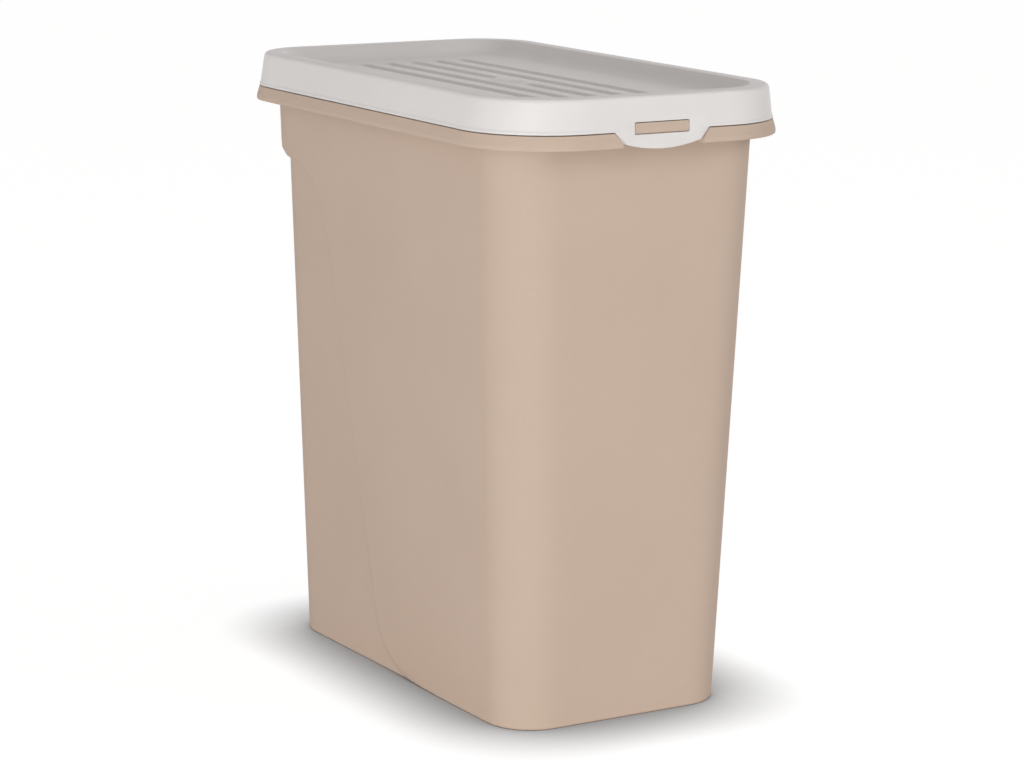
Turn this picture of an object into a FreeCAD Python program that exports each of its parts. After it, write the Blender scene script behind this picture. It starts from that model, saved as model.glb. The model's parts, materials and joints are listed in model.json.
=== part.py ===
import FreeCAD, Part
import math
import os

# Pet food bin: a tall tapered tub, a flared collar snapped round its rim, a hinged
# lid with a shallow tray in its top, and a springy latch tab in the lid's front skirt.
# Millimetres. +Z is up, -Y is the latch side, and the origin is under the middle of
# the bin on the surface that it stands on.

# ---- tub -------------------------------------------------------------------------
TUB_HEIGHT = 404.2          # base to the tub's own rim, which carries the collar
TUB_TOP_WIDTH = 207.0       # outside, across X at the rim
TUB_BASE_WIDTH = 176.4      # outside, across X at the base
TUB_TOP_FRONT = 172.75      # origin plane to the front wall, at the rim
TUB_BASE_FRONT = 157.85     # origin plane to the front wall, at the base
TUB_TOP_REAR = 180.15       # origin plane to the rear shoulder, at the rim
TUB_BASE_REAR = 173.05      # the same wall carried down to the base
TUB_TOP_CORNER = 39.0       # corner radius at the rim
TUB_BASE_CORNER = 33.0      # corner radius at the base
TUB_WALL = 2.2
TUB_FLOOR = 2.6
BASE_EDGE_ROUND = 1.6       # rounding where the walls meet the base
FOOT_RING = 14.0            # width of the flat ring that the tub stands on
FOOT_RELIEF = 1.4           # the base inside that ring is raised by this
BEAD_DROP = 3.0             # rim down to the snap bead round the tub
BEAD_HEIGHT = 2.0
BEAD_PROUD = 1.2

# ---- relief round the back of the tub ----------------------------------------------
SIDE_RELIEF = 3.0           # the side walls step in by this behind the relief line
REAR_RELIEF = 7.2           # the rear wall steps in by this below the shoulder
SHOULDER_DROP = 49.2        # rim down to the underside of the rear shoulder
RELIEF_TOP_REACH = 78.5     # rear wall forward to where the sloping line meets the shoulder
RELIEF_FOOT_Y = 29.5        # where the sloping line would meet the foot line
RELIEF_FOOT_Z = 5.5
RELIEF_END_Y = -13.5        # the foot line runs out of the base here
RELIEF_TOP_RADIUS = 60.0
RELIEF_FOOT_RADIUS = 50.0

# ---- collar ------------------------------------------------------------------------
COLLAR_SIDE_OVERHANG = 15.3     # rim's outside to the collar's lip, at the sides
COLLAR_FRONT_OVERHANG = 22.6    # the same at the front, where the latch is
COLLAR_REAR_OVERHANG = 15.2     # the same at the rear
COLLAR_FRONT_CORNER = 62.5
COLLAR_REAR_CORNER = 51.5
COLLAR_HEIGHT = 9.7         # lip's lower edge to the ledge's upper face
COLLAR_LIP_HEIGHT = 2.9     # the upright band at the foot of the sloping face
COLLAR_SLOPE_RUN = 2.0      # how far the sloping face leans out
COLLAR_WALL = 2.0
COLLAR_CREASE_ROUND = 4.0   # soft crease between the sloping face and the lip
COLLAR_LIP_ROUND = 0.6      # lip's lower outer edge
COLLAR_TOP_ROUND = 0.5      # ledge's outer edge, under the lid
LEDGE_THICKNESS = 2.2
SPIGOT_CLEARANCE = 0.3      # collar's spigot to the tub's inside
SPIGOT_THICKNESS = 1.8
SPIGOT_DEPTH = 9.0
MOUTH_BEAD_HEIGHT = 2.6     # low bead round the mouth, under the lid
MOUTH_BEAD_WIDTH = 2.0
HOOK_WIDTH = 14.0           # snap fingers that reach under the tub's bead
HOOK_THICKNESS = 1.6
HOOK_BARB_HEIGHT = 1.4
HOOK_CLEARANCE = 0.3

# ---- lid ---------------------------------------------------------------------------
LID_INSET = 1.9             # collar's lip to the skirt's lower edge, all round
LID_HEIGHT = 23.0           # skirt's lower edge to the crest
LID_GAP = 0.6               # skirt's lower edge to the collar's ledge
LID_WALL = 2.2
CREST_SIDE_INSET = 5.5      # crest's outer edge in from the lower edge, on the sides
CREST_END_INSET = 0.8       # the same at the front and rear
CREST_WIDTH = 13.0
CREST_ROUND = 3.4
TRAY_DEPTH = 9.8            # crest to the tray's floor
TRAY_SLOPE_RUN = 12.0       # the tray's walls lean in by this
TRAY_FLOOR_CORNER = 22.0
GROOVE_COUNT = 5
GROOVE_PITCH = 20.6
GROOVE_WIDTH = 9.0
GROOVE_DEPTH = 3.0
GROOVE_END_MARGIN = 25.6    # edge of the tray's floor to the grooves' ends
BOSS_LENGTH = 34.0          # plain oval pad at the tray's centre
BOSS_WIDTH = 20.0
BOSS_HEIGHT = 1.2

# ---- latch -------------------------------------------------------------------------
LATCH_TOP_WIDTH = 73.2      # at the lid's lower edge
LATCH_FOOT_WIDTH = 61.0     # where the straight shoulders end
LATCH_SHOULDER_DROP = 7.6   # lid's lower edge down to the end of the shoulders
LATCH_TIP_DROP = 12.0       # lid's lower edge down to the tip of the curved edge
LATCH_ROOT_RISE = 11.0      # lid's lower edge up to the line where the tab bends
LATCH_THICKNESS = 2.2
LATCH_GAP = 0.3             # gap between the tab and the skirt
SLOT_WIDTH = 42.8
SLOT_HEIGHT = 8.1
SLOT_DROP = 2.3             # lid's lower edge down to the slot's lower edge
CATCH_CLEARANCE = 0.6       # catch to the slot, all round
CATCH_RECESS = 0.8          # catch's front face behind the tab's front face
NOTCH_CLEARANCE = 0.9       # collar's notch to the tab, at each side
NOTCH_FINGER_DEPTH = 6.0    # room for a fingertip behind the tab

# ---- hinge -------------------------------------------------------------------------
HINGE_INSET = 1.0           # axis in from the lid's rear lower edge
HINGE_DROP = 3.4            # axis below the lid's lower edge
PIN_RADIUS = 1.5
PIN_CLEARANCE = 0.06        # radial, in the knuckle
KNUCKLE_RADIUS = 2.9
KNUCKLE_LENGTH = 22.0
KNUCKLE_SIDE_GAP = 0.4
KNUCKLE_SPACING = 96.0      # between the two knuckles' middles
POCKET_CLEARANCE = 0.5      # collar's pocket to the knuckle
EAR_THICKNESS = 2.6
WEB_THICKNESS = 2.2
WEB_RISE = 4.0              # how far the knuckle's web runs up inside the skirt

# ---- levels and places that follow from the sizes above -----------------------------
SHOULDER_Z = TUB_HEIGHT - SHOULDER_DROP
RELIEF_TOP_Y = TUB_TOP_REAR - RELIEF_TOP_REACH
COLLAR_WIDTH = TUB_TOP_WIDTH + 2 * COLLAR_SIDE_OVERHANG
COLLAR_FRONT = TUB_TOP_FRONT + COLLAR_FRONT_OVERHANG
COLLAR_REAR = TUB_TOP_REAR + COLLAR_REAR_OVERHANG
LEDGE_TOP_Z = TUB_HEIGHT + LEDGE_THICKNESS
COLLAR_LOW_Z = LEDGE_TOP_Z - COLLAR_HEIGHT
LID_LOW_Z = LEDGE_TOP_Z + LID_GAP
CREST_Z = LID_LOW_Z + LID_HEIGHT
TRAY_Z = CREST_Z - TRAY_DEPTH
LID_FRONT_Y = LID_INSET - COLLAR_FRONT
LID_REAR_Y = COLLAR_REAR - LID_INSET
LID_CENTRE_Y = (LID_FRONT_Y + LID_REAR_Y) / 2
TRAY_END_INSET = CREST_END_INSET + CREST_WIDTH + TRAY_SLOPE_RUN
GROOVE_REACH = (LID_REAR_Y - LID_FRONT_Y) / 2 - TRAY_END_INSET - GROOVE_END_MARGIN
HINGE_Y = LID_REAR_Y - HINGE_INSET
HINGE_Z = LID_LOW_Z - HINGE_DROP
MARGIN = 20.0               # how far cutting shapes run past what they cut
LEVEL_TOLERANCE = 0.01      # edges this close to a height count as lying at it


def rounded_outline(width, front, rear, front_corner, rear_corner, z):
    """Closed rounded rectangle at height z, from y = -front to y = rear."""
    half = width / 2
    corners = [(half, -front, -90, front_corner), (half, rear, 0, rear_corner)]
    corners += [(-half, rear, 90, rear_corner), (-half, -front, 180, front_corner)]
    edges = []
    last = None
    first = None
    for x, y, start, corner in corners:
        centre_x = x - math.copysign(corner, x)
        centre_y = y - math.copysign(corner, y)
        points = []
        for angle in (start, start + 45, start + 90):
            turn = math.radians(angle)
            point_x = centre_x + corner * math.cos(turn)
            point_y = centre_y + corner * math.sin(turn)
            points.append(FreeCAD.Vector(point_x, point_y, z))
        if last is None:
            first = points[0]
        else:
            edges.append(Part.makeLine(last, points[0]))
        edges.append(Part.Arc(*points).toShape())
        last = points[2]
    edges.append(Part.makeLine(last, first))
    return Part.Wire(edges)


def between(low, high, share):
    """Value the given share of the way from low to high."""
    return low + (high - low) * share


def slab(x_low, x_high, y_low, y_high, z_low, z_high):
    """Box between two corners."""
    corner = FreeCAD.Vector(x_low, y_low, z_low)
    return Part.makeBox(x_high - x_low, y_high - y_low, z_high - z_low, corner)


def ring_solid(outlines):
    """Solid through a stack of outlines, with straight walls between them."""
    return Part.makeLoft(outlines, True, True)


# ---- tub -------------------------------------------------------------------------
def tub_outline(z, inset, side_step, rear_step):
    """Tub's outline at height z, moved in by the wall inset and by a relief step."""
    share = z / TUB_HEIGHT
    width = between(TUB_BASE_WIDTH, TUB_TOP_WIDTH, share) - 2 * (inset + side_step)
    front = between(TUB_BASE_FRONT, TUB_TOP_FRONT, share) - inset
    rear = between(TUB_BASE_REAR, TUB_TOP_REAR, share) - inset - rear_step
    corner = between(TUB_BASE_CORNER, TUB_TOP_CORNER, share) - inset
    return rounded_outline(width, front, rear, corner, corner, z)


def tub_block(z_low, z_high, inset, side_step=0.0, rear_step=0.0):
    """Solid tapered block with the tub's outline."""
    low = tub_outline(z_low, inset, side_step, rear_step)
    high = tub_outline(z_high, inset, side_step, rear_step)
    return ring_solid([low, high])


def rounded_turn(before, corner, after, radius):
    """Arc that rounds the corner between two straight lines of an outline."""
    back = (before - corner).normalize()
    ahead = (after - corner).normalize()
    half_angle = math.acos(back.dot(ahead)) / 2
    reach = radius / math.tan(half_angle)
    middle = (back + ahead).normalize()
    centre = corner + middle * (radius / math.sin(half_angle))
    start = corner + back * reach
    end = corner + ahead * reach
    mid = centre - middle * radius
    return start, Part.Arc(start, mid, end).toShape(), end


def relief_zone(grow):
    """Space behind the relief line, grown by an amount and run across the whole tub."""
    side = -TUB_TOP_WIDTH
    back = TUB_TOP_REAR + MARGIN
    shoulder_end = FreeCAD.Vector(side, back, SHOULDER_Z)
    top = FreeCAD.Vector(side, RELIEF_TOP_Y, SHOULDER_Z)
    foot = FreeCAD.Vector(side, RELIEF_FOOT_Y, RELIEF_FOOT_Z)
    end = FreeCAD.Vector(side, RELIEF_END_Y, 0)
    ahead = (end - foot).normalize()
    end = end + ahead * MARGIN
    below = FreeCAD.Vector(side, back, end.z - MARGIN)
    under = FreeCAD.Vector(side, end.y, end.z - MARGIN)
    top_start, top_arc, top_end = rounded_turn(shoulder_end, top, foot, RELIEF_TOP_RADIUS)
    foot_start, foot_arc, foot_end = rounded_turn(top, foot, end, RELIEF_FOOT_RADIUS)
    edges = [Part.makeLine(shoulder_end, top_start), top_arc]
    edges += [Part.makeLine(top_end, foot_start), foot_arc]
    edges += [Part.makeLine(foot_end, end), Part.makeLine(end, under)]
    edges += [Part.makeLine(under, below), Part.makeLine(below, shoulder_end)]
    face = Part.Face(Part.Wire(edges))
    if grow > 0:
        face = face.makeOffset2D(grow)
    return face.extrude(FreeCAD.Vector(2 * TUB_TOP_WIDTH, 0, 0))


def level_edges(shape, z):
    """Edges of a shape that lie in the plane at height z."""
    return [edge for edge in shape.Edges
            if abs(edge.BoundBox.ZMin - z) < LEVEL_TOLERANCE
            and abs(edge.BoundBox.ZMax - z) < LEVEL_TOLERANCE]


def round_foot(block):
    """Block with the edge round its lowest face rounded."""
    return block.makeFillet(BASE_EDGE_ROUND, level_edges(block, block.BoundBox.ZMin))


def relieved_block(z_low, z_high, inset, grow):
    """Tapered block with a rounded foot and the relief taken off its sides and rear."""
    block = round_foot(tub_block(z_low, z_high, inset))
    core = round_foot(tub_block(z_low, z_high, inset, SIDE_RELIEF, REAR_RELIEF))
    return block.cut(relief_zone(grow).cut(core))


def make_tub():
    """Tub with its relief, snap bead, foot ring and open top."""
    outside = relieved_block(0.0, TUB_HEIGHT, 0.0, 0.0)
    bead_top = TUB_HEIGHT - BEAD_DROP
    bead = tub_block(bead_top - BEAD_HEIGHT, bead_top, -BEAD_PROUD)
    hollow = relieved_block(TUB_FLOOR + FOOT_RELIEF, TUB_HEIGHT, TUB_WALL, TUB_WALL)
    foot_cut = tub_block(0.0, FOOT_RELIEF, FOOT_RING, 0.0, REAR_RELIEF)
    return outside.fuse(bead).cut(hollow).cut(foot_cut).removeSplitter()


# ---- collar ------------------------------------------------------------------------
def collar_outline(z, inset):
    """Collar's outline at height z, moved in all round."""
    return rounded_outline(COLLAR_WIDTH - 2 * inset, COLLAR_FRONT - inset, COLLAR_REAR - inset,
                           COLLAR_FRONT_CORNER - inset, COLLAR_REAR_CORNER - inset, z)


def collar_envelope(inset, z_top):
    """Collar's outer form, moved in by an inset and closed at the given height."""
    crease_z = COLLAR_LOW_Z + COLLAR_LIP_HEIGHT
    lean = COLLAR_SLOPE_RUN * (z_top - crease_z) / (LEDGE_TOP_Z - crease_z)
    lip = collar_outline(COLLAR_LOW_Z, inset)
    crease = collar_outline(crease_z, inset)
    top = collar_outline(z_top, inset + lean)
    return ring_solid([lip, crease, top])


def soft_collar_envelope():
    """Collar's outer form with its crease, lip and top edge rounded."""
    shape = collar_envelope(0.0, LEDGE_TOP_Z)
    rounds = [(COLLAR_LOW_Z + COLLAR_LIP_HEIGHT, COLLAR_CREASE_ROUND)]
    rounds += [(COLLAR_LOW_Z, COLLAR_LIP_ROUND), (LEDGE_TOP_Z, COLLAR_TOP_ROUND)]
    for z, radius in rounds:
        shape = shape.makeFillet(radius, level_edges(shape, z))
    return shape


def latch_shape(grow, y_low, y_high, root_z):
    """Prism with the latch tab's front outline, grown at the sides."""
    top = LATCH_TOP_WIDTH / 2 + grow
    foot = LATCH_FOOT_WIDTH / 2 + grow
    foot_z = LID_LOW_Z - LATCH_SHOULDER_DROP
    tip_z = LID_LOW_Z - LATCH_TIP_DROP - grow
    points = [(-foot, foot_z), (-top, LID_LOW_Z), (-top, root_z)]
    points += [(top, root_z), (top, LID_LOW_Z), (foot, foot_z)]
    corners = [FreeCAD.Vector(x, y_low, z) for x, z in points]
    edges = [Part.makeLine(a, b) for a, b in zip(corners, corners[1:])]
    tip = FreeCAD.Vector(0, y_low, tip_z)
    edges.append(Part.Arc(corners[-1], tip, corners[0]).toShape())
    face = Part.Face(Part.Wire(edges))
    return face.extrude(FreeCAD.Vector(0, y_high - y_low, 0))


def notch_shape(grow):
    """Room that the collar leaves for the tab and for a fingertip behind it."""
    back = LID_FRONT_Y + LATCH_THICKNESS + NOTCH_FINGER_DEPTH + grow
    front = LID_FRONT_Y - MARGIN
    notch = latch_shape(NOTCH_CLEARANCE + grow, front, back, LEDGE_TOP_Z + MARGIN)
    foot = LATCH_FOOT_WIDTH / 2 + NOTCH_CLEARANCE + grow
    foot_z = LID_LOW_Z - LATCH_SHOULDER_DROP
    return notch.fuse(slab(-foot, foot, front, back, COLLAR_LOW_Z - MARGIN, foot_z))


def make_catch():
    """Tongue on the collar that stands in the latch tab's slot."""
    half = SLOT_WIDTH / 2 - CATCH_CLEARANCE
    low = LID_LOW_Z - SLOT_DROP + CATCH_CLEARANCE
    high = LID_LOW_Z - SLOT_DROP + SLOT_HEIGHT - CATCH_CLEARANCE
    front = LID_FRONT_Y + CATCH_RECESS
    back = LID_FRONT_Y + LATCH_THICKNESS + NOTCH_FINGER_DEPTH + COLLAR_WALL
    tongue = slab(-half, half, front, back, low, high)
    core_front = front + COLLAR_WALL
    core = slab(-half + COLLAR_WALL, half - COLLAR_WALL, core_front, back, LEDGE_TOP_Z,
                high - COLLAR_WALL)
    return tongue.cut(core)


def knuckle_middles():
    """X positions of the two hinge knuckles."""
    return [-KNUCKLE_SPACING / 2, KNUCKLE_SPACING / 2]


def pocket_half():
    """Half the width of a hinge pocket in the collar."""
    return KNUCKLE_LENGTH / 2 + KNUCKLE_SIDE_GAP


def pin_at(x_low, x_high, radius):
    """Cylinder on the hinge axis."""
    start = FreeCAD.Vector(x_low, HINGE_Y, HINGE_Z)
    return Part.makeCylinder(radius, x_high - x_low, start, FreeCAD.Vector(1, 0, 0))


def make_hinge_seat(collar, middle):
    """Collar with one open pocket, its two ears and the stub pin between them."""
    half = pocket_half()
    reach = KNUCKLE_RADIUS + POCKET_CLEARANCE
    back = HINGE_Y + MARGIN
    ear_front = HINGE_Y - reach - COLLAR_WALL
    ears = slab(middle - half - EAR_THICKNESS, middle + half + EAR_THICKNESS, ear_front, back,
                HINGE_Z - KNUCKLE_RADIUS, LEDGE_TOP_Z)
    ears = ears.common(soft_collar_envelope())
    pocket = slab(middle - half, middle + half, HINGE_Y - reach, back,
                  COLLAR_LOW_Z - MARGIN, LEDGE_TOP_Z + MARGIN)
    pin = pin_at(middle - half - EAR_THICKNESS / 2, middle + half + EAR_THICKNESS / 2, PIN_RADIUS)
    return collar.fuse(ears).cut(pocket).fuse(pin)


def hook_at(x, y, turn):
    """Snap finger outside the tub's wall, with a barb under the bead."""
    barb_top = TUB_HEIGHT - BEAD_DROP - BEAD_HEIGHT - HOOK_CLEARANCE
    barb_low = barb_top - HOOK_BARB_HEIGHT
    half = HOOK_WIDTH / 2
    gap = BEAD_PROUD + HOOK_CLEARANCE
    finger = slab(-half, half, gap, gap + HOOK_THICKNESS, barb_low, TUB_HEIGHT)
    barb = slab(-half, half, HOOK_CLEARANCE, gap, barb_low, barb_top)
    hook = finger.fuse(barb)
    hook.rotate(FreeCAD.Vector(0, 0, 0), FreeCAD.Vector(0, 0, 1), turn)
    hook.translate(FreeCAD.Vector(x, y, 0))
    return hook


def make_hooks():
    """Snap fingers along both long sides, the front and the rear."""
    half = TUB_TOP_WIDTH / 2
    middle_y = (TUB_TOP_REAR - TUB_TOP_FRONT) / 2
    pitch = (TUB_TOP_REAR + TUB_TOP_FRONT) / 4
    hooks = []
    for step in (-1, 0, 1):
        hooks.append(hook_at(half, middle_y + step * pitch, -90))
        hooks.append(hook_at(-half, middle_y + step * pitch, 90))
    for side in (-1, 1):
        hooks.append(hook_at(side * half / 2, -TUB_TOP_FRONT, 180))
    hooks.append(hook_at(0, TUB_TOP_REAR, 0))
    return hooks


def make_collar():
    """Flared collar with spigot, mouth bead, catch, latch notch and hinge seats."""
    notch = notch_shape(0.0)
    collar = soft_collar_envelope().cut(notch)
    hollow = collar_envelope(COLLAR_WALL, TUB_HEIGHT).cut(notch_shape(COLLAR_WALL))
    collar = collar.cut(hollow)
    spigot_low = TUB_HEIGHT - SPIGOT_DEPTH
    spigot_inset = TUB_WALL + SPIGOT_CLEARANCE
    mouth_inset = spigot_inset + SPIGOT_THICKNESS
    spigot = tub_block(spigot_low, TUB_HEIGHT, spigot_inset)
    bead_top = LEDGE_TOP_Z + MOUTH_BEAD_HEIGHT
    bead = tub_block(LEDGE_TOP_Z, bead_top, mouth_inset - MOUTH_BEAD_WIDTH)
    mouth = tub_block(spigot_low, bead_top, mouth_inset)
    collar = collar.fuse([spigot, bead]).cut(mouth)
    collar = collar.fuse(make_hooks() + [make_catch()])
    for middle in knuckle_middles():
        collar = make_hinge_seat(collar, middle)
    return collar.removeSplitter()


# ---- lid ---------------------------------------------------------------------------
def lid_outline(z, side_inset, end_inset, front_corner, rear_corner):
    """Lid outline at height z, moved in by separate amounts at the sides and ends."""
    width = COLLAR_WIDTH - 2 * (LID_INSET + side_inset)
    return rounded_outline(width, -LID_FRONT_Y - end_inset, LID_REAR_Y - end_inset,
                           front_corner, rear_corner, z)


def lid_band(z, side_inset, end_inset):
    """Lid outline whose corners keep step with the side inset."""
    shrink = LID_INSET + side_inset
    return lid_outline(z, side_inset, end_inset, COLLAR_FRONT_CORNER - shrink,
                       COLLAR_REAR_CORNER - shrink)


def lid_block(inset, z_top):
    """Lid's outer form, moved in by the wall and closed at the given height."""
    share = (z_top - LID_LOW_Z) / LID_HEIGHT
    side = inset + CREST_SIDE_INSET * share
    end = inset + CREST_END_INSET * share
    return ring_solid([lid_band(LID_LOW_Z, inset, inset), lid_band(z_top, side, end)])


def tray_space(grow):
    """Space of the tray above its floor, grown by a wall on every side."""
    side = CREST_SIDE_INSET + CREST_WIDTH - grow
    end = CREST_END_INSET + CREST_WIDTH - grow
    corner = TRAY_FLOOR_CORNER + grow
    floor = lid_outline(TRAY_Z - grow, side + TRAY_SLOPE_RUN, end + TRAY_SLOPE_RUN,
                        corner, corner)
    return ring_solid([floor, lid_band(CREST_Z, side, end)])


def groove(middle, y_low, y_high, grow):
    """Round-ended groove in the tray's floor, grown by a wall."""
    radius = GROOVE_WIDTH / 2 + grow
    low_z = TRAY_Z - GROOVE_DEPTH - grow
    height = GROOVE_DEPTH + 2 * grow
    start = y_low + GROOVE_WIDTH / 2
    stop = y_high - GROOVE_WIDTH / 2
    run = slab(middle - radius, middle + radius, start, stop, low_z, low_z + height)
    ends = []
    for y in (start, stop):
        ends.append(Part.makeCylinder(radius, height, FreeCAD.Vector(middle, y, low_z)))
    return run.fuse(ends)


def grooves(grow):
    """All the tray's grooves; the middle one stops short of the centre pad."""
    low = LID_CENTRE_Y - GROOVE_REACH
    high = LID_CENTRE_Y + GROOVE_REACH
    pad_gap = BOSS_LENGTH / 2 + GROOVE_WIDTH / 2
    found = []
    for index in range(GROOVE_COUNT):
        step = index - (GROOVE_COUNT - 1) / 2
        middle = step * GROOVE_PITCH
        if step == 0:
            found.append(groove(middle, low, LID_CENTRE_Y - pad_gap, grow))
            found.append(groove(middle, LID_CENTRE_Y + pad_gap, high, grow))
        else:
            found.append(groove(middle, low, high, grow))
    return found


def centre_pad():
    """Plain oval pad at the middle of the tray."""
    pad = Part.makeCylinder(BOSS_WIDTH / 2, BOSS_HEIGHT, FreeCAD.Vector(0, 0, TRAY_Z))
    stretch = FreeCAD.Matrix()
    stretch.scale(1.0, BOSS_LENGTH / BOSS_WIDTH, 1.0)
    pad = pad.transformGeometry(stretch)
    pad.translate(FreeCAD.Vector(0, LID_CENTRE_Y, 0))
    return pad


def knuckle(middle):
    """Hinge knuckle with its bore and the web that joins it to the rear skirt."""
    half = KNUCKLE_LENGTH / 2
    barrel = pin_at(middle - half, middle + half, KNUCKLE_RADIUS)
    web = slab(middle - half, middle + half, LID_REAR_Y - WEB_THICKNESS, LID_REAR_Y,
               HINGE_Z, LID_LOW_Z + WEB_RISE)
    bore = pin_at(middle - half - KNUCKLE_SIDE_GAP, middle + half + KNUCKLE_SIDE_GAP,
                  PIN_RADIUS + PIN_CLEARANCE)
    return barrel.fuse(web).cut(bore)


def latch_window():
    """Opening in the lid's front skirt that the latch tab fills."""
    half = LATCH_TOP_WIDTH / 2 + LATCH_GAP
    back = LID_FRONT_Y + CREST_END_INSET + LATCH_THICKNESS + LATCH_GAP
    top = LID_LOW_Z + LATCH_ROOT_RISE + LATCH_GAP
    return slab(-half, half, LID_FRONT_Y - MARGIN, back, LID_LOW_Z - MARGIN, top)


def make_lid():
    """Lid shell with tray, grooves, centre pad and hinge knuckles."""
    body = lid_block(0.0, CREST_Z).cut(tray_space(0.0))
    body = body.makeFillet(CREST_ROUND, level_edges(body, CREST_Z))
    under = tray_space(LID_WALL).fuse(grooves(LID_WALL))
    hollow = lid_block(LID_WALL, CREST_Z - LID_WALL).cut(under)
    body = body.cut(grooves(0.0)).cut(hollow)
    body = body.fuse(centre_pad()).cut(latch_window())
    return body.fuse([knuckle(middle) for middle in knuckle_middles()]).removeSplitter()


# ---- latch tab ---------------------------------------------------------------------
def make_latch_tab():
    """Springy tab that continues the lid's front skirt and snaps over the catch."""
    root_z = LID_LOW_Z + LATCH_ROOT_RISE
    tab = latch_shape(0.0, LID_FRONT_Y, LID_FRONT_Y + LATCH_THICKNESS, root_z)
    slot_low = LID_LOW_Z - SLOT_DROP
    half = SLOT_WIDTH / 2
    slot = slab(-half, half, LID_FRONT_Y - MARGIN, LID_FRONT_Y + MARGIN,
                slot_low, slot_low + SLOT_HEIGHT)
    return tab.cut(slot)


def write_piece(name, shape):
    """Writes one piece to its own STEP file and prints what it holds."""
    shape.exportStep(os.path.join("parts", name + ".step"))
    box = shape.BoundBox
    print(name, "solids", len(shape.Solids), "valid", shape.isValid(),
          "volume", round(shape.Volume), "x", round(box.XMin, 2), round(box.XMax, 2),
          "y", round(box.YMin, 2), round(box.YMax, 2), "z", round(box.ZMin, 2), round(box.ZMax, 2))


def main():
    """Builds and writes every piece of the bin."""
    os.makedirs("parts", exist_ok=True)
    write_piece("bin_tub", make_tub())
    write_piece("rim_collar", make_collar())
    write_piece("lid", make_lid())
    write_piece("latch_tab", make_latch_tab())


main()
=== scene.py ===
import json
import logging
import math
from dataclasses import dataclass, field
from enum import Enum
from functools import cached_property
from typing import Callable, Iterable, Sequence

import bmesh
import bpy
import numpy as np
from mathutils import Matrix, Vector


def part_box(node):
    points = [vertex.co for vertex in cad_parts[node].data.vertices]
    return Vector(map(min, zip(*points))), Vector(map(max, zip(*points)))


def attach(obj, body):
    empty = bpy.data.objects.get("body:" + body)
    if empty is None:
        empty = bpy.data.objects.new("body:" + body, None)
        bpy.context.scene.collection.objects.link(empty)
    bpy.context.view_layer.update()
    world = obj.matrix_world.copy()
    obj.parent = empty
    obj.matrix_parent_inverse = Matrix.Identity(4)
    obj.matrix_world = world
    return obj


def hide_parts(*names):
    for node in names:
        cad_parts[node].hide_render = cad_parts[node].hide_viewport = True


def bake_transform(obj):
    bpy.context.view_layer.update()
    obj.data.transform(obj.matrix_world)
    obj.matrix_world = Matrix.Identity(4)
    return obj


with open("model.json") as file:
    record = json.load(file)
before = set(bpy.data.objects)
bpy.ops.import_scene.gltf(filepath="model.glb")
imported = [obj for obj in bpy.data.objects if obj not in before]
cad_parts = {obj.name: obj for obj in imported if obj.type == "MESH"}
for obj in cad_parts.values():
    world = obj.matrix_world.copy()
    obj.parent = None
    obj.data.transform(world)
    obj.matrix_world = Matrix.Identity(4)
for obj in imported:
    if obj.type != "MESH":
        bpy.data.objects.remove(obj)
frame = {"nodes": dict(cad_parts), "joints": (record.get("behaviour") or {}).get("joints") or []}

LOG = logging.getLogger("pet_food_bin")
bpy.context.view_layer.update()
Ring = list[Vector]
Vert = bmesh.types.BMVert
Nodes = bpy.types.Nodes
Links = bpy.types.NodeLinks
Socket = bpy.types.NodeSocket
MM = 0.001


class Body(Enum):
    """Rigid bodies that a piece can ride on."""

    BIN = "bin"
    LID = "lid"
    LATCH = "latch"


class Slot(Enum):
    """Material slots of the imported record."""

    BEIGE = "beige_plastic"
    WHITE = "white_plastic"


# ---- small geometry helpers
def mix(low: float, high: float, share: float) -> float:
    """Value the given share of the way from low to high."""
    return low + (high - low) * share


def spread(low: float, high: float, count: int) -> list[float]:
    """Evenly spaced values from low to high, both included.

    Args:
        low: first value.
        high: last value.
        count: number of steps between them.

    Returns:
        A list of count + 1 values.
    """
    return [mix(low, high, step / count) for step in range(count + 1)]


def rounded_profile(points: Sequence[tuple[float, float]], radii: Sequence[float],
                    steps: int = 6) -> list[tuple[float, float]]:
    """Open outline through the points with its inner corners rounded by arcs.

    Args:
        points: corners of the outline.
        radii: one radius per inner corner, 0 for a sharp one.
        steps: segments in each arc.

    Returns:
        The points of the rounded outline.
    """
    corners = [Vector(point) for point in points]
    found = [corners[0]]
    for before, corner, after, radius in zip(corners, corners[1:], corners[2:], radii):
        back = (before - corner).normalized()
        ahead = (after - corner).normalized()
        half = back.angle(ahead) / 2
        if radius <= 0 or half > math.pi / 2 - 1e-4:
            found.append(corner)
            continue
        reach = radius / math.tan(half)
        centre = corner + (back + ahead).normalized() * (radius / math.sin(half))
        start = corner + back * reach - centre
        end = corner + ahead * reach - centre
        first = math.atan2(start.y, start.x)
        sweep = math.remainder(math.atan2(end.y, end.x) - first, 2 * math.pi)
        for share in spread(0.0, 1.0, steps):
            angle = first + sweep * share
            found.append(centre + radius * Vector((math.cos(angle), math.sin(angle))))
    found.append(corners[-1])
    return [(point.x, point.y) for point in found]


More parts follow.
